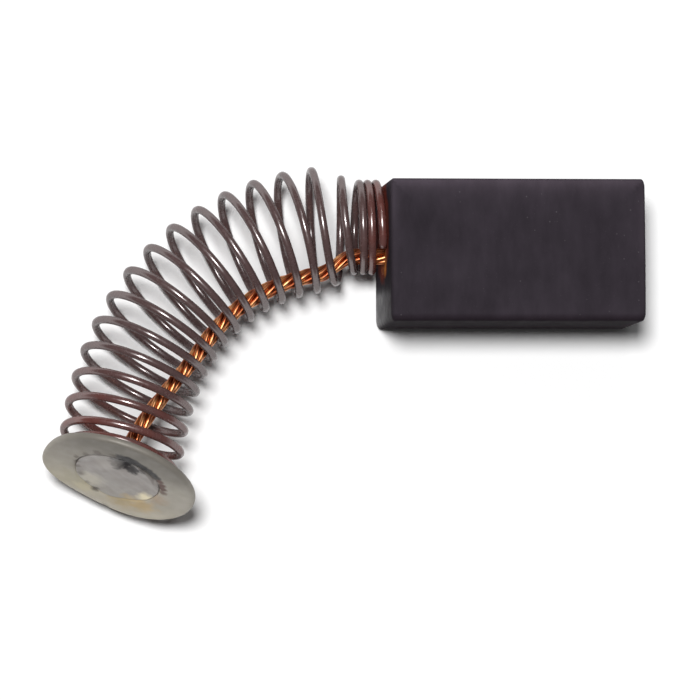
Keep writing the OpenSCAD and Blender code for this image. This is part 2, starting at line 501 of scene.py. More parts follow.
@dataclass(frozen=True)
class SpringFinish:
    """Drawn spring steel, darkened brown, with a redder tone near both ends."""

    steel: Colour = linear(90, 70, 69)
    reddish: Colour = linear(108, 60, 54)
    roughness: float = 0.24
    metallic: float = 0.15
    film_index: float = 2.1
    sheen_level: float = 0.5
    edge_sheen_level: float = 0.06

    def material(self) -> Material:
        """Build the material.

        Returns:
            The spring's material.
        """
        desk = FinishDesk("Darkened spring steel")
        place = desk.place_mm()
        patchy = desk.stretch(desk.noise(place, 0.9, 2.0), 0.25, 0.7, 0.45, 1.0)
        tint = desk.maths("MULTIPLY", desk.stored("end_tint"), patchy, clamp=True)
        colour = desk.blend(tint, self.steel, self.reddish)
        facing = desk.result("ShaderNodeLayerWeight", {}, "Facing")
        sheen = desk.stretch(facing, 0.3, 0.75, self.sheen_level, self.edge_sheen_level)
        desk.finish(
            Base_Color=desk.mottled(colour, place, 1.7, 0.1),
            Metallic=self.metallic,
            IOR=self.film_index,
            Specular_IOR_Level=sheen,
            Roughness=desk.wander(place, 2.5, self.roughness - 0.05, self.roughness + 0.08),
        )
        desk.raise_surface(desk.noise(place, 6.0, 2.0), 0.003, 0.2)
        return desk.material


@dataclass(frozen=True)
class CopperFinish:
    """Bare stranded copper, with a painted highlight on each wire's crown, painted shade in the
    grooves between the wires and painted shadow under the spring's coils.
    """

    crown_highlight: Colour = linear(242, 178, 122)
    groove_shade: Colour = linear(184, 84, 42)
    # Painted shadow of the spring's coils on the copper.
    coil_shadow_colour: Colour = linear(140, 54, 30)
    coil_shadow_strength: float = 0.8
    roughness: float = 0.38

    def material(self) -> Material:
        """Build the material.

        Returns:
            The shunt's material.
        """
        desk = FinishDesk("Stranded copper")
        place = desk.place_mm()
        tone = desk.group(mottle(), Place=place, Scale=0.8, Strength=0.16)
        # Painted highlight on the wires' crowns and painted shade in the grooves between them.
        crown = desk.stretch(desk.stored("crown"), 0.1, 0.95)
        colour = desk.blend(
            desk.maths("MULTIPLY", crown, tone, clamp=True), self.groove_shade, self.crown_highlight
        )
        # Painted shadow where the spring's coils lie over the shunt.
        coil_shadow_share = desk.maths("MULTIPLY", desk.stored("coil_shadow"), self.coil_shadow_strength)
        desk.finish(
            Base_Color=desk.blend(coil_shadow_share, colour, self.coil_shadow_colour),
            Metallic=1.0,
            Roughness=desk.wander(place, 3.0, self.roughness - 0.06, self.roughness + 0.1),
        )
        return desk.material


@dataclass(frozen=True)
class TampingFinish:
    """Copper powder that was tamped into the hole: dull and grainy."""

    powder: Colour = linear(176, 96, 52)
    dark: Colour = linear(84, 44, 30)

    def material(self) -> Material:
        """Build the material.

        Returns:
            The powder's material.
        """
        desk = FinishDesk("Tamped copper powder")
        grain = desk.noise(desk.place_mm(), 9.0, 4.0, 0.7)
        desk.finish(
            Base_Color=desk.blend(desk.stretch(grain, 0.3, 0.65), self.dark, self.powder),
            Metallic=0.6,
            Roughness=desk.stretch(grain, 0.3, 0.7, 0.7, 0.45),
        )
        desk.raise_surface(grain, 0.05, 0.8)
        return desk.material


@dataclass(frozen=True)
class PlatedFinish:
    """Dull grey metal on the cap's face, darker and greener towards its top, paler and warmer
    towards its bottom, and stained.
    """

    name: str = "Dull plating"
    plating: Colour = linear(156, 150, 140)
    greenish: Colour = linear(124, 119, 111)
    warm: Colour = linear(190, 182, 165)
    roughness: float = 0.56
    metallic: float = 0.2
    stains: tuple[Stain, ...] = ()

    def material(self) -> Material:
        """Build the material.

        Returns:
            The material, which reads face_place from the mesh.
        """
        desk = FinishDesk(self.name)
        face = desk.stored("face_place", "Vector")
        height = desk.result("ShaderNodeSeparateXYZ", {0: face}, 1)
        colour = desk.blend(desk.stretch(height, 0.5, 4.0), self.plating, self.greenish)
        colour = desk.blend(desk.stretch(height, 1.2, -3.6), colour, self.warm)
        for stain in self.stains:
            colour = stain.over(desk, face, colour)
        desk.finish(
            Base_Color=desk.mottled(colour, face, 0.9, 0.06),
            Metallic=self.metallic,
            Roughness=desk.wander(face, 1.4, self.roughness - 0.08, self.roughness + 0.12),
        )
        desk.raise_surface(desk.noise(face, 5.0, 4.0), 0.012, 0.35)
        return desk.material


# --- The spring's axis ---


@dataclass(frozen=True)
class BowedAxis:
    """The line that the spring is wound round, bowed from the block to the cap.

    Lengths are in millimetres and angles in degrees, and s is a distance along the line.
    """

    rear_x: float
    wire_d: float = 0.45
    seat_gap: float = 0.012
    seat_side: float = 1.53
    seat_height: float = 3.85
    closed_turns: float = 2.42
    open_out_turns: float = 0.93
    open_turns: float = 14.82
    flat_ramp: float = 0.3
    flat_turns: float = 0.5
    open_pitch: float = 1.3828
    start_yaw: float = 0.1
    lead_l: float = 1.2
    bow_angle: float = 81.8
    bow_bias: float = 0.313
    bow_skew: float = -0.514
    start_dip: float = 0.3
    end_rise: float = 12.8
    cap_yaw: float = -69.3
    cap_tilt: float = 21.8
    step: float = 0.02

    @property
    def closed_pitch(self) -> float:
        """Advance of a closed coil."""
        return 1.05 * self.wire_d

    @property
    def turns(self) -> float:
        """Turns of the whole spring."""
        coils = self.closed_turns + self.open_out_turns + self.open_turns
        return coils + self.flat_ramp + self.flat_turns

    @property
    def length(self) -> float:
        """Length of the axis."""
        return float(self.advance(np.array(self.turns)))

    @property
    def start(self) -> Points:
        """Where the axis begins, beside the block's rear face."""
        x = self.rear_x - self.wire_d / 2 - self.seat_gap
        return np.array([x, self.seat_side, self.seat_height])

    def advance(self, turn: Points) -> Points:
        """Distance along the axis after a number of turns.

        Args:
            turn: Numbers of turns from the block.

        Returns:
            The distance for each.
        """
        flat_from = self.turns - self.flat_turns - self.flat_ramp
        opened = ramp_sum(turn - self.closed_turns, self.open_out_turns)
        flattened = ramp_sum(turn - flat_from, self.flat_ramp)
        widening = self.open_pitch - self.closed_pitch
        return self.closed_pitch * turn + widening * opened - self.open_pitch * flattened

    def squared_up(self, s: Points) -> Points:
        """How far the coils have turned square to the cap."""
        return smooth((s - self.length + self.open_pitch) / self.open_pitch)

    def share(self, s: Points) -> Points:
        """Share of the axis that lies behind s."""
        return np.clip(s / self.length, 0.0, 1.0)

    def heading(self, s: Points) -> tuple[Points, Points]:
        """Direction of the axis in plan, and its rise.

        Args:
            s: Distances along the axis.

        Returns:
            Both angles at each, in degrees.
        """
        t = np.clip((s - self.lead_l) / (self.length - self.lead_l), 0.0, 1.0)
        bent = t + self.bow_bias * t * (1 - t) + self.bow_skew * t * (1 - t) * (1 - 2 * t)
        settled = smooth(s / (self.closed_turns * self.closed_pitch))
        yaw = self.start_yaw * settled - self.bow_angle * bent
        pitch = self.end_rise * self.share(s) ** 2 - self.start_dip * settled
        squared = self.squared_up(s)
        return mix(yaw, self.cap_yaw, squared), mix(pitch, self.cap_tilt, squared)

    @staticmethod
    def directions(yaw: Points, pitch: Points) -> tuple[Points, Points, Points]:
        """Unit vectors of an axis that points this way.

        Args:
            yaw: Its direction in plan, in degrees.
            pitch: Its rise, in degrees.

        Returns:
            The ways along the axis, level towards the outside of the bow, and up.
        """
        a, e = np.broadcast_arrays(np.radians(yaw), np.radians(pitch))
        ca, sa, ce, se = np.cos(a), np.sin(a), np.cos(e), np.sin(e)
        along = np.stack([-ca * ce, sa * ce, se], -1)
        outward = np.stack([sa, ca, np.zeros_like(sa)], -1)
        return along, outward, np.stack([ca * se, -sa * se, ce], -1)

    def point(self, s: Points) -> Points:
        """Points of the axis.

        Args:
            s: Distances along the axis.

        Returns:
            One row of three coordinates for each distance.
        """
        knots = np.arange(0.0, self.length + 2 * self.step, self.step)
        middles = knots[:-1] + self.step / 2
        strides = self.step * self.directions(*self.heading(middles))[0]
        line = self.start + np.vstack([np.zeros(3), np.cumsum(strides, 0)])
        return np.stack([np.interp(s, knots, line[:, k]) for k in range(3)], -1)


@dataclass(frozen=True)
class CapFrame:
    """Where the cap stands, which way it faces and the sizes that its pieces share."""

    axis: BowedAxis
    shift: float = 0.23
    sheet_t: float = 0.45
    cup_d: float = 4.8
    cup_depth: float = 0.95
    lip_shift: float = 0.25

    @property
    def directions(self) -> tuple[Points, Points, Points]:
        """The ways out of the cap's face, level in it and up in it."""
        return self.axis.directions(self.axis.cap_yaw, self.axis.cap_tilt)

    def place(self, local: Points) -> Points:
        """Points in the part's frame from places on the cap's own axes.

        Args:
            local: Rows of places across the face, up it and out of the flange's back.

        Returns:
            One row of three coordinates for each place.
        """
        normal, level, rising = self.directions
        end = self.axis.point(np.array([self.axis.length]))[0]
        middle = end - self.shift * level + self.axis.wire_d / 2 * normal
        return middle + local @ np.stack([level, rising, normal])

    def lip_rise(self, radius: Points) -> Points:
        """How far the cup's mouth and its solder sit above the cap's middle."""
        return self.lip_shift * smooth(3.6 - radius) * smooth((radius - 0.6) / 0.8)


# --- Spring ---


@dataclass(frozen=True)
class CoilSpring:
    """Coil spring of one round wire, with closed coils at the block."""

    axis: BowedAxis
    finish: SpringFinish
    seat_r: float = 2.45
    coil_r: float = 3.334
    widen_turns: float = 1.85
    widen_delay: float = 0.25
    coil_lean: float = 10.5
    closed_slant: float = 3.0
    opening_slant: float = 7.3
    slant_in: float = 0.38
    slant_wait: float = 0.11
    slant_rise: float = 0.7
    slant_fade: float = 2.48
    wire_start: float = 121.3
    rings_per_turn: int = 56
    wire_sides: int = 18
    tint_near_block: float = 0.9
    tint_near_cap: float = 5.5

    def slant(self, turn: Points) -> Points:
        """Slant of the coils near the block.

        Args:
            turn: Numbers of turns from the block.

        Returns:
            The slant at each, in degrees.
        """
        past = turn - self.axis.closed_turns - self.slant_wait
        closed = self.closed_slant * smooth(turn / self.slant_in)
        opening = self.opening_slant * smooth(past / self.slant_rise)
        return (closed + opening) * (1 - smooth((past - self.slant_rise) / self.slant_fade))

    def middle_line(self) -> tuple[Points, Points, Points, Points]:
        """The wire's middle line from the block to the cap.

        Returns:
            Distance along the axis, the line's points, and at each point the directions
            away from the axis and along it.
        """
        axis = self.axis
        turn = np.linspace(0.0, axis.turns, math.ceil(axis.turns * self.rings_per_turn) + 1)
        s = axis.advance(turn)
        lean = self.coil_lean * axis.share(s) ** 2 * (1 - axis.squared_up(s))
        yaw, pitch = axis.heading(s)
        along, outward, upward = axis.directions(yaw + lean, pitch - self.slant(turn))
        widened = smooth((turn - axis.closed_turns - self.widen_delay) / self.widen_turns)
        radius = mix(self.seat_r, self.coil_r, widened)[:, None]
        angle = np.radians(self.wire_start - 360.0 * turn)[:, None]
        radial = np.cos(angle) * outward + np.sin(angle) * upward
        return s, axis.point(s) + radius * radial, radial, along

    def build(self) -> None:
        """Sweep the wire and dress it."""
        s, middle, radial, along = self.middle_line()
        wire_r = self.axis.wire_d / 2
        spring = sweep("spring_wire", middle, radial, along, wire_r, self.wire_sides)
        to_cap = self.axis.length - s
        tint = np.maximum(
            smooth(1.3 - s / self.tint_near_block), smooth(1.2 - to_cap / self.tint_near_cap)
        )
        add_field(spring, "end_tint", np.repeat(tint, self.wire_sides))
        present(spring, self.finish.material(), "spring")


# --- Shunt ---


@dataclass(frozen=True)
class Shunt:
    """Copper rope of seven bundles, each twisted from fine wires."""

    spring: CoilSpring
    cap: CapFrame
    finish: CopperFinish
    outer_bundles: int = 6
    bundle_d: float = 0.29
    lay_length: float = 6.5
    hug_offset: float = 2.5
    hug_delay: float = 0.2
    hug_run: float = 2.4
    leave_share: float = 0.61
    coil_room: float = 0.12
    solder_room: float = 0.03
    tamp_depth: float = 3.2
    wires_round: int = 9
    sides_per_wire: int = 5
    wire_lay: float = 2.6
    wire_groove: float = 0.04
    ring_gap: float = 0.11
    coil_shadow_reach: float = 0.56
    coil_shadow_soft: float = 0.36

    @property
    def axis(self) -> BowedAxis:
        """The line that the spring and the shunt share."""
        return self.spring.axis

    @property
    def rope_mean_r(self) -> float:
        """Distance of the outer bundles' middles from the shunt's."""
        return 2.1 * self.bundle_d / 2

    @property
    def entry_offset(self) -> float:
        """How far off the spring's axis the shunt enters the block."""
        rope_r = self.rope_mean_r + self.bundle_d / 2
        return self.spring.seat_r - self.axis.wire_d / 2 - rope_r - self.coil_room

    @property
    def hole_mouth(self) -> Points:
        """Where the shunt enters the block."""
        return self.axis.start - self.entry_offset * np.array([0.0, 1.0, 0.0])

    @property
    def centred_at(self) -> float:
        """Distance at which the shunt is in line with the cap."""
        return self.axis.length + self.axis.wire_d / 2 - self.cap.cup_depth

    def middle_line(self, s: Points) -> Points:
        """Middle of the shunt.

        Args:
            s: Distances along the spring's axis, which are below 0 inside the block.

        Returns:
            One row of three coordinates for each distance.
        """
        axis = self.axis
        hug_from = axis.closed_turns * axis.closed_pitch + self.hug_delay
        hugging = mix(self.entry_offset, self.hug_offset, smooth((s - hug_from) / self.hug_run))
        leave_from = self.leave_share * axis.length
        u = np.clip((s - leave_from) / (self.centred_at - leave_from), 0.0, 1.0)
        offset = mix(hugging, self.cap.shift, u * u * (2 - u))[:, None]
        outward = axis.directions(*axis.heading(s))[1]
        beyond = np.maximum(s - axis.length, 0.0)[:, None] * self.cap.directions[0]
        bowed = axis.point(np.clip(s, 0.0, axis.length)) - offset * outward + beyond
        inside = self.hole_mouth - np.minimum(s, 0.0)[:, None] * np.array([1.0, 0.0, 0.0])
        return np.where(s[:, None] < 0, inside, bowed)

    def coil_shadow(self, s: Points) -> Points:
        """How much painted shadow the spring's coils throw on the copper.

        Args:
            s: Distances along the spring's axis.

        Returns:
            1 where a coil lies straight over the shunt, 0 between the coils.
        """
        rope = self.middle_line(s)[:, None]
        wire = self.spring.middle_line()[1][None]
        apart = np.hypot(rope[..., 0] - wire[..., 0], rope[..., 1] - wire[..., 1])
        nearest = np.where(wire[..., 2] > rope[..., 2], apart, math.inf).min(axis=1)
        return smooth((self.coil_shadow_reach - nearest) / self.coil_shadow_soft)

    def build_bundle(self, node: str, mean_r: float, phase: float, seed: int) -> Piece:
        """Sweep one bundle with its fine wires standing out as lobes.

        Args:
            node: The CAD node that the bundle stands for.
            mean_r: Distance of the bundle's middle from the shunt's.
            phase: Angle at which it starts round the shunt, in degrees.
            seed: Picks the bundle's own unevenness.

        Returns:
            The bundle.
        """
        axis = self.axis
        start = -(self.tamp_depth - axis.wire_d / 2 - axis.seat_gap)
        end = self.centred_at + self.cap.sheet_t - self.solder_room
        s = np.linspace(start, end, math.ceil((end - start) / self.ring_gap) + 1)
        outside = np.where(s < 0, 0.0, 1.0)
        _, out, up = axis.directions(*(angle * outside for angle in axis.heading(s)))
        angle = np.radians(phase + 360.0 * s / self.lay_length)[:, None]
        line = self.middle_line(s) + mean_r * (np.cos(angle) * out + np.sin(angle) * up)
        sides = self.wires_round * self.sides_per_wire
        twist = 2 * math.pi * s[:, None] / self.wire_lay
        lobe = np.abs(np.cos(self.wires_round * (around(sides) - twist) / 2))
        swell = 1 + 0.03 * drift(s / 4, seed + 9)[:, None]
        radius = self.bundle_d / 2 * (0.965 + self.wire_groove * lobe) * swell
        bundle = sweep(f"{node}_wires", line, out, up, radius, sides)
        # 1 on each fine wire's crown, which is painted with its highlight, and 0 in the grooves,
        # which are painted with shade.
        crown = np.clip(lobe + 0.25 * drift(s / 2.9, seed)[:, None], 0.0, 1.0)
        add_field(bundle, "crown", crown.ravel())
        # Painted shadow of the coils, along the shunt.
        add_field(bundle, "coil_shadow", np.repeat(self.coil_shadow(s), sides))
        return bundle

    def build(self) -> None:
        """Build and dress all seven bundles, the core first."""
        bundles = [("shunt_core", 0.0, 0.0, 3)]
        for i in range(self.outer_bundles):
            phase = 360.0 * i / self.outer_bundles
            bundles.append((f"shunt_bundle_{i + 1}", self.rope_mean_r, phase, 20 + i))
        copper = self.finish.material()
        for node, mean_r, phase, seed in bundles:
            bundle = self.build_bundle(node, mean_r, phase, seed)
            present(bundle, copper, node)


# --- Block ---


@dataclass(frozen=True)
class GraphiteBlock:
    """Square graphite block with rounded edges and a hole for the shunt."""

    low: Vector
    high: Vector
    shunt: Shunt
    finish: GraphiteFinish
    long_round: float = 0.5
    end_round: float = 0.2
    face_crown: float = 0.02
    crown_share: float = 0.2
    round_steps: int = 6
    tamp_d: float = 2.1
    cut_gap: float = 0.2
    highlight_width: float = 0.45
    least_highlight: float = 0.15
    end_highlight: float = 0.4
    front_shade_fade: float = 0.4
    spill_drop: float = 0.5
    spill_height: float = 4.9
    seat_smear_drop: float = 0.2

    @property
    def half(self) -> Points:
        """Half of the length, the width and the height, in millimetres."""
        return np.array((self.high - self.low) / MM) / 2

    def _form(self) -> tuple[Points, Faces]:
        """Solid block with rounded edges, cut into small squares that can hold the painted edge
        highlight, the polish and the painted front shade.

        Returns:
            Vertices round the block's middle, in millimetres, and the faces between them.
        """
        r, e = self.long_round, self.end_round
        angles = np.radians(np.linspace(0.0, 90.0, self.round_steps + 1))
        form = bmesh.new()
        for phi in angles:
            ring_r = r * math.cos(phi)
            for theta in angles[:1] if phi == angles[-1] else angles:
                rounding = [e * math.sin(phi), ring_r * math.cos(theta), ring_r * math.sin(theta)]
                corner = self.half - np.array([e, r, r]) + np.array(rounding)
                for signs in itertools.product((-1, 1), repeat=3):
                    form.verts.new(corner * signs)
        bmesh.ops.convex_hull(form, input=form.verts)
        bmesh.ops.dissolve_limit(
            form, angle_limit=math.radians(0.5), verts=form.verts, edges=form.edges
        )
        for half, normal in zip(self.half, np.eye(3)):
            for k in np.arange(-half + self.cut_gap, half, self.cut_gap):
                bmesh.ops.bisect_plane(
                    form,
                    geom=form.verts[:] + form.edges[:] + form.faces[:],
                    plane_co=Vector(normal * k),
                    plane_no=Vector(normal),
                )
        form.verts.index_update()
        points = np.array([vertex.co for vertex in form.verts])
        faces = [tuple(vertex.index for vertex in face.verts) for face in form.faces]
        form.free()
        return points, faces

    def _surface_fields(self, at: Points) -> dict[str, Points]:
        """How much painted edge highlight, how much polish and how much painted front shade each
        point of the surface gets.

        Args:
            at: Points round the block's middle, in millimetres.

        Returns:
            The values that the material reads, by name.
        """
        half, (x, y, z) = self.half, at.T
        gap = half - np.abs(at)
        # Painted edge highlight: strongest on the back side, towards the lamp, and weaker on the
        # ends.
        toward_lamp = mix(self.least_highlight, 1.0, smooth(0.5 + y / half[1] / 2))
        toward_lamp = toward_lamp * np.where(gap[:, 0] < gap[:, 1], self.end_highlight, 1.0)
        rubbed = smooth(1 - (x + half[0]) / 0.3) * smooth((-1.3 - y) / 1.2)
        return {
            # Painted highlight along the edges.
            "edge_highlight_share": toward_lamp * np.exp(-np.sort(gap)[:, 1] / self.highlight_width),
            "polish": rubbed * (0.75 - 0.25 * z / half[2]),
            # Painted shade, strongest on the front face.
            "front": smooth(1.15 - (y + half[1]) / self.front_shade_fade),
        }

    def build(self) -> None:
        """Build and dress the block."""
        half, (at, faces) = self.half, self._form()
        fields = self._surface_fields(at)
        crown_r = (half[1] ** 2 + self.face_crown**2) / (2 * self.face_crown)
        drop = crown_r - np.sqrt(crown_r**2 - at[:, 1] ** 2)
        near_contact = np.maximum(0.0, at[:, 0] / half[0] - 1 + self.crown_share)
        at[:, 0] -= drop * near_contact / self.crown_share
        middle = np.array(self.low + self.high) / 2 / MM
        block = new_piece("graphite_block", middle + at, faces)
        for name, values in fields.items():
            add_field(block, name, values)
        self._bore(block)
        rear, axis, shunt = self.low.x / MM, self.shunt.axis, self.shunt
        seat = (rear, axis.seat_side - self.seat_smear_drop, axis.seat_height)
        spill = (rear, float(shunt.hole_mouth[1]) - self.spill_drop, self.spill_height)
        graphite = self.finish.material(seat, shunt.spring.seat_r, spill)
        present(block, graphite, "carbon_block")

    def _bore(self, block: Piece) -> None:
        """Cut the shunt's hole into the rear face.

        Args:
            block: The block without its hole.
        """
        line = np.tile(self.shunt.hole_mouth, (2, 1))
        line[:, 0] = self.low.x / MM + np.array([-0.5, self.shunt.tamp_depth])
        _, second, third = np.eye(3)[:, None]
        cutter = sweep("hole_cutter", line, second, third, self.tamp_d / 2, 64)
        cut = block.modifiers.new("hole", "BOOLEAN")
        cut.object = cutter
        cut.solver = "EXACT"
        bpy.context.view_layer.update()
        ready = block.evaluated_get(bpy.context.evaluated_depsgraph_get())
        bored = bpy.data.meshes.new_from_object(ready)
        block.modifiers.clear()
        bored.set_sharp_from_angle(angle=math.radians(50))
        block.data = bored
        bpy.data.objects.remove(cutter)


# --- Cap ---


def arc(x: float, y: float, r: float, start: float, end: float, count: int) -> Points:
    """Points of an arc between two angles in degrees."""
    angles = np.radians(np.linspace(start, end, count))
    return np.stack([x + r * np.cos(angles), y + r * np.sin(angles)], -1)


def run(start: tuple[float, float], end: tuple[float, float], count: int) -> Points:
    """Points that part a straight run into equal lengths, without its ends."""
    return mix(np.array(start), np.array(end), np.arange(1, count)[:, None] / count)


@dataclass(frozen=True)
class TerminalCap:
    """Pressed cap: a round flange with a shallow cup for the solder."""

    frame: CapFrame
    finish: PlatedFinish
    rim_d: float = 9.0
    hole_r: float = 0.53
    segments: int = 160
    notch_at: float = -91.5
    notch_width: float = 3.0
    notch_depth: float = 0.12
    flat_at: float = 8.0
    flat_width: float = 26.0
    flat_depth: float = 0.2
    bent_at: float = -72.0
    bent_width: float = 42.0
    bent_back: float = 0.2
    bent_in: float = 0.42
    ripple: float = 0.015

    def _profile(self) -> Points:
        """Outline of the sheet, from the hole's back round to its front.

        Returns:
            Radius and height of each point.
        """
        rim, cup, t = self.rim_d / 2, self.frame.cup_d / 2, self.frame.sheet_t
        edge, bend, root = t * 0.45, t * 0.5, 0.1
        back = -self.frame.cup_depth
        floor = back + t
        wall, outer = cup + t, cup + t - bend
        return np.vstack(
            [
                [(self.hole_r, back)],
                run((self.hole_r, back), (outer, back), 6),
                arc(outer, back + bend, bend, -90, 0, 7),
                arc(wall + root, -root, root, 180, 90, 4),
                run((wall + root, 0.0), (rim - edge, 0.0), 8),
                arc(rim - edge, edge, edge, -90, 0, 6),
                arc(rim - edge, t - edge, edge, 0, 90, 6)[1:],
                run((rim - edge, t), (cup + bend, t), 12),
                arc(cup + bend, t - bend, bend, 90, 180, 7),
                [(cup, floor)],
                run((cup, floor), (self.hole_r, floor), 6),
                [(self.hole_r, floor)],
            ]
        )

    def build(self) -> None:
        """Spin the outline round, add the rim's small faults and dress the cap."""
        profile, turn, t = self._profile(), around(self.segments), self.frame.sheet_t
        radius = np.repeat(profile[:, :1], self.segments, 1)
        height = np.repeat(profile[:, 1:], self.segments, 1)
        degrees = (np.degrees(turn) + 180.0) % 360.0 - 180.0
        near_rim = smooth((radius - self.rim_d / 2 + 0.5) / 0.5)
        radius -= self.notch_depth * near_rim * bell(degrees, self.notch_at, self.notch_width)
        radius -= self.flat_depth * near_rim * bell(degrees, self.flat_at, self.flat_width)
        bent = bell(degrees, self.bent_at, self.bent_width) * smooth((radius - 2.9) / 1.6)
        wave = drift(turn / (2 * math.pi), 7, 3)
        height -= self.ripple * (wave + 1.0) * smooth((radius - 3.0) / 1.5)
        height -= self.bent_back * bent * smooth(height / t)
        radius -= self.bent_in * bent
        front = (np.arange(len(profile)) > np.argmax(profile[:, 0]))[:, None]
        across = radius * np.cos(turn)
        up = radius * np.sin(turn) + self.frame.lip_rise(radius) * front
        local = np.stack([across, up, height], -1).reshape(-1, 3)
        faces = grid_faces(len(profile), self.segments, looped=True)
        cap = new_piece("pressed_cap", self.frame.place(local), faces)
        add_field(cap, "face_place", local - np.array([0.0, 0.0, t]))
        present(cap, self.finish.material(), "terminal_cap")


@dataclass(frozen=True)
class SolderFill:
    """Solder in the cup: uneven, with a pit that is painted with shade and a gap along one side.
    """

    frame: CapFrame
    finish: PlatedFinish
    cup_room: float = 0.01
    sink: float = 0.14
    rim_sink: float = 0.04
    swell: float = 0.05
    pit: tuple[float, float] = (-0.1, 1.7)
    pit_size: tuple[float, float] = (0.55, 0.5)
    pit_depth: float = 0.3
    gap_from: float = 20.0
    gap_to: float = 105.0
    gap_fade: float = 14.0
    gap_depth: float = 0.35
    rings: int = 48
    segments: int = 144

    @property
    def radius(self) -> float:
        """Radius of the fill."""
        return self.frame.cup_d / 2 - self.cup_room

    def surface(self, across: Points, up: Points) -> Points:
        """Height of the solder's surface over the flange's back.

        Args:
            across: Places along the face's level axis.
            up: Places along its rising axis.

        Returns:
            The height at each place.
        """
        r = np.hypot(across, up) / self.radius
        climb = (self.sink - self.rim_sink) * smooth((r - 0.75) / 0.25)
        top = self.frame.sheet_t - self.sink + climb + self.swell * (1 - r**2)
        lumps = 0.03 * drift(across / 3.1 + up / 5.0, 5) + 0.025 * drift(up / 2.2 - across / 4, 6)
        pit = bell(across, self.pit[0], self.pit_size[0]) * bell(up, self.pit[1], self.pit_size[1])
        angle = np.degrees(np.arctan2(up, -across))
        begun = smooth((angle - self.gap_from) / self.gap_fade)
        sector = begun * smooth((self.gap_to - angle) / self.gap_fade)
        gap = sector * smooth((r - 0.86) / 0.08)
        return top + lumps - self.pit_depth * pit - self.gap_depth * gap

    def build(self) -> None:
        """Build the fill as a closed disc and dress it."""
        n, t = self.segments, self.frame.sheet_t
        radius = self.radius * (np.arange(1, self.rings + 1) / self.rings)[:, None]
        across, up = radius * np.cos(around(n)), radius * np.sin(around(n))
        height = self.surface(across, up)
        up += self.frame.lip_rise(radius)
        floor = np.full(n, t - self.frame.cup_depth)
        middle = [[0.0, 0.0, float(self.surface(np.zeros(1), np.zeros(1))[0])]]
        top = np.stack([across, up, height], -1).reshape(-1, 3)
        under = np.stack([across[-1], up[-1], floor], -1)
        local = np.vstack([middle, top, under])
        faces = [(0, 1 + j, 1 + (j + 1) % n) for j in range(n)]
        faces += [tuple(v + 1 for v in quad) for quad in grid_faces(self.rings + 1, n)]
        faces.append(tuple(1 + self.rings * n + j for j in range(n)))
        solder = new_piece("solder_pool", self.frame.place(local), faces)
        add_field(solder, "face_place", local - np.array([0.0, 0.0, t]))
        present(solder, self.finish.material(), "solder_fill")


def spots(colour: Colour, grain: float, *rows: tuple[float, ...]) -> tuple[Stain, ...]:
    """Stains on the cap's face, from rows of across, up, radius, soft, ragged, strength."""
    return tuple(
        Stain((across, up, 0.0), radius, soft, ragged, grain, colour, strength)
        for across, up, radius, soft, ragged, strength in rows
    )


# Painted shade in the cup's hollows: along the shadowed gap at the lip and in the solder's pit.
RECESS_SHADE = linear(30, 25, 28)
# Painted shade along the lower end of the cup's lip, tinted with the joint's own brown.
BROWN_LIP_SHADE = linear(84, 48, 38)
MARK = linear(92, 80, 72)
LIP_MARKS = (
    *spots(MARK, 4.0, (2.42, 0.45, 0.08, 0.18, 0.3, 0.65), (2.25, -0.1, 0.07, 0.18, 0.3, 0.6)),
    *spots(MARK, 4.0, (1.95, -0.8, 0.07, 0.18, 0.3, 0.5), (1.4, -1.6, 0.06, 0.18, 0.3, 0.5)),
    *spots(linear(70, 62, 56), 4.0, (0.84, -2.05, 0.14, 0.18, 0.3, 0.75)),
)
CAP_STAINS = (
    *spots(linear(176, 150, 96), 1.6, (-0.9, -2.35, 0.35, 0.9, 1.6, 0.55)),
    *spots(linear(196, 166, 110), 2.0, (-2.0, -1.9, 0.3, 0.7, 1.2, 0.6)),
    *spots(linear(168, 128, 84), 2.0, (-2.6, -0.4, 0.25, 0.6, 0.8, 0.6)),
    *spots(linear(172, 164, 134), 1.2, (2.2, -2.3, 0.7, 1.2, 1.8, 0.4)),
    *spots(linear(182, 176, 164), 1.0, (-3.4, 0.4, 0.6, 1.6, 0.8, 0.65)),
    # Painted shadow along the cup's upper lip.
    *spots(
        RECESS_SHADE,
        4.0,
        (0.3, 2.95, 0.25, 0.25, 0.3, 0.85),
        (-0.1, 3.0, 0.34, 0.16, 0.2, 1.0),
        (-0.4, 3.1, 0.2, 0.16, 0.2, 0.9),
        (-0.65, 2.86, 0.26, 0.16, 0.15, 0.95),
        (-1.0, 2.76, 0.24, 0.16, 0.15, 0.95),
        (-1.35, 2.6, 0.22, 0.15, 0.15, 0.9),
        (-1.68, 2.38, 0.19, 0.15, 0.15, 0.9),
        (-1.96, 2.12, 0.17, 0.15, 0.15, 0.85),
    ),
    # Painted shade continuing the lip's shadow down the side, in brown.
    *spots(
        BROWN_LIP_SHADE,
        4.0,
        (-2.2, 1.8, 0.15, 0.15, 0.15, 0.85),
        (-2.4, 1.42, 0.16, 0.15, 0.2, 0.9),
        (-2.54, 1.02, 0.16, 0.15, 0.2, 0.9),
        (-2.62, 0.6, 0.13, 0.2, 0.3, 0.7),
    ),
    *spots(MARK, 4.0, (1.6, 2.5, 0.16, 0.2, 0.4, 0.7), (0.75, 2.85, 0.1, 0.2, 0.4, 0.5)),
    *spots(MARK, 4.0, (2.15, 1.85, 0.08, 0.2, 0.4, 0.6), (2.5, 1.1, 0.08, 0.2, 0.4, 0.6)),
    *spots(linear(200, 190, 160), 2.0, (1.5, -2.3, 0.3, 0.4, 0.6, 0.55)),
    *spots(linear(84, 80, 72), 3.0, (-0.1, -3.95, 0.05, 0.3, 0.5, 0.6)),
    *LIP_MARKS,
)
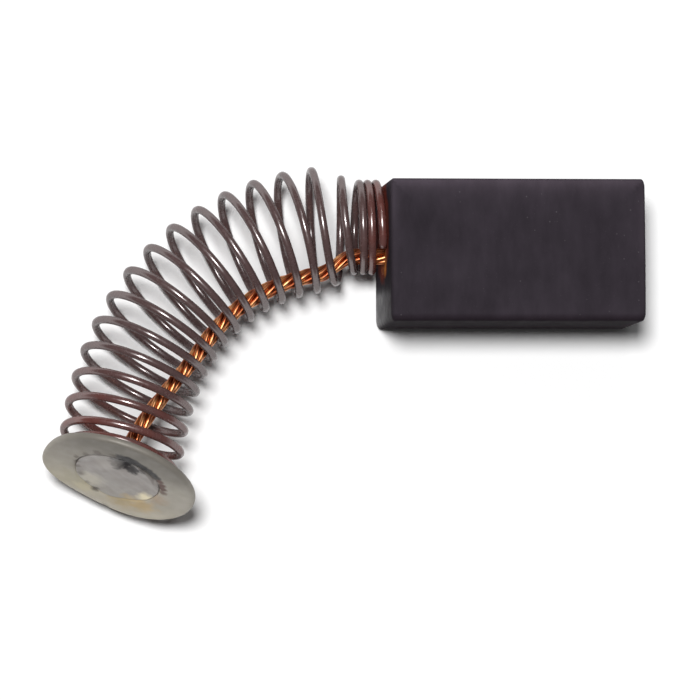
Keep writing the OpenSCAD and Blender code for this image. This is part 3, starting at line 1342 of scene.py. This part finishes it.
SOLDER_STAINS = (
    # Painted shade in the solder's pit.
    *spots(
        RECESS_SHADE,
        3.2,
        (0.15, 2.1, 0.6, 0.25, 0.7, 1.0),
        (-0.45, 1.75, 0.38, 0.25, 0.8, 0.9),
        (0.3, 1.4, 0.2, 0.25, 0.6, 0.8),
        (-1.2, 2.1, 0.1, 0.25, 0.4, 0.7),
    ),
    # Painted highlight on the lit lower wall of the cup.
    *spots(linear(236, 224, 190), 2.4, (-1.95, -1.0, 0.3, 0.4, 0.6, 0.85)),
    *spots(linear(190, 166, 120), 2.4, (-1.1, -1.75, 0.2, 0.35, 0.8, 0.6)),
    *spots(linear(198, 192, 176), 2.0, (1.3, -1.2, 0.4, 0.6, 0.8, 0.6)),
    *spots(linear(176, 170, 164), 1.4, (1.0, 1.6, 0.5, 0.7, 0.8, 0.5)),
    *LIP_MARKS,
)
SOLDER_FINISH = PlatedFinish(
    name="Uneven solder",
    plating=linear(153, 147, 143),
    greenish=linear(147, 141, 138),
    warm=linear(162, 157, 150),
    roughness=0.45,
    metallic=0.35,
    stains=SOLDER_STAINS,
)


# --- Setting ---


class Side(Enum):
    """Ways that a studio lamp can stand, as a direction from the part."""

    OVERHEAD = (-0.163, 0.112, 1.0)
    BACK = (0.0, 0.61, 1.0)


@dataclass(frozen=True)
class Lamp:
    """One round studio lamp, aimed at the part, with its sizes in metres."""

    side: Side
    level: float
    size: float
    distance: float = 0.6

    def build(self, aim: Vector) -> None:
        """Hang the lamp.

        Args:
            aim: The point it shines at.
        """
        data = bpy.data.lights.new(f"lamp_{self.side.name.lower()}", "AREA")
        data.shape = "DISK"
        data.size = self.size
        data.energy = self.level * (math.pi * self.distance) ** 2
        lamp = put_in_scene(data.name, data)
        direction = Vector(self.side.value).normalized()
        lamp.location = aim + direction * self.distance
        lamp.rotation_euler = direction.to_track_quat("Z", "Y").to_euler()


@dataclass(frozen=True)
class Studio:
    """White ground, soft lamps and the camera, with sizes in millimetres."""

    look_at: Place = (-9.05, -5.38, 4.0)
    view_from: Place = (-0.111, -0.057, 1.0)
    distance: float = 280.0
    view_width: float = 39.19
    sensor: float = 36.0
    lamps: tuple[Lamp, ...] = (Lamp(Side.OVERHEAD, 1.07, 0.115), Lamp(Side.BACK, 0.06, 0.035))
    sky: float = 0.05
    ground_half: float = 1000.0
    ground_white: float = 0.95

    def build(self) -> None:
        """Build the ground, the sky, the lamps and the camera."""
        self._ground()
        self._sky()
        aim = Vector(self.look_at) * MM
        for lamp in self.lamps:
            lamp.build(aim)
        self._camera(aim)
        bpy.context.scene.view_settings.view_transform = "Standard"

    def _ground(self) -> None:
        """White ground that keeps the shadow."""
        corners = np.array([[-1, -1, 0], [1, -1, 0], [1, 1, 0], [-1, 1, 0]])
        ground = new_piece("ground", corners * self.ground_half, [(0, 1, 2, 3)])
        desk = FinishDesk("White ground")
        desk.finish(Base_Color=[self.ground_white] * 3, Roughness=0.9, Specular_IOR_Level=0.0)
        dress(ground, desk.material)

    def _sky(self) -> None:
        """Even pale light from all round."""
        world = bpy.data.worlds.new("Studio walls")
        world.use_nodes = True
        background = world.node_tree.nodes["Background"]
        background.inputs["Color"].default_value = (1.0, 1.0, 1.0, 1.0)
        background.inputs["Strength"].default_value = self.sky
        bpy.context.scene.world = world

    def _camera(self, aim: Vector) -> None:
        """Camera nearly straight above, level with the block's long way.

        Args:
            aim: The point in the middle of the view.
        """
        data = bpy.data.cameras.new("camera")
        data.sensor_width = self.sensor
        data.lens = self.sensor * self.distance / self.view_width
        data.clip_start = 0.01
        data.clip_end = 10.0
        camera = put_in_scene("camera", data)
        back = Vector(self.view_from).normalized()
        right = (Vector((1, 0, 0)) - back * back.x).normalized()
        turned = Matrix((right, back.cross(right), back)).transposed().to_4x4()
        camera.matrix_world = Matrix.Translation(aim + back * self.distance * MM) @ turned
        bpy.context.scene.camera = camera


# --- Assembly ---


def main() -> None:
    """Build every piece in order, then the setting."""
    logging.basicConfig(level=logging.INFO, format="%(name)s: %(message)s")
    low, high = (Vector(corner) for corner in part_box("carbon_block"))
    axis = BowedAxis(rear_x=low.x / MM)
    cap_frame = CapFrame(axis)
    spring = CoilSpring(axis, SpringFinish())
    shunt = Shunt(spring, cap_frame, CopperFinish())
    GraphiteBlock(low, high, shunt, GraphiteFinish()).build()
    dress(frame["nodes"]["tamping"], TampingFinish().material())
    log.info("tamping is the CAD node itself, finished in Tamped copper powder")
    spring.build()
    shunt.build()
    TerminalCap(cap_frame, PlatedFinish(stains=CAP_STAINS)).build()
    SolderFill(cap_frame, SOLDER_FINISH).build()
    Studio().build()


if __name__ == "__main__":
    main()
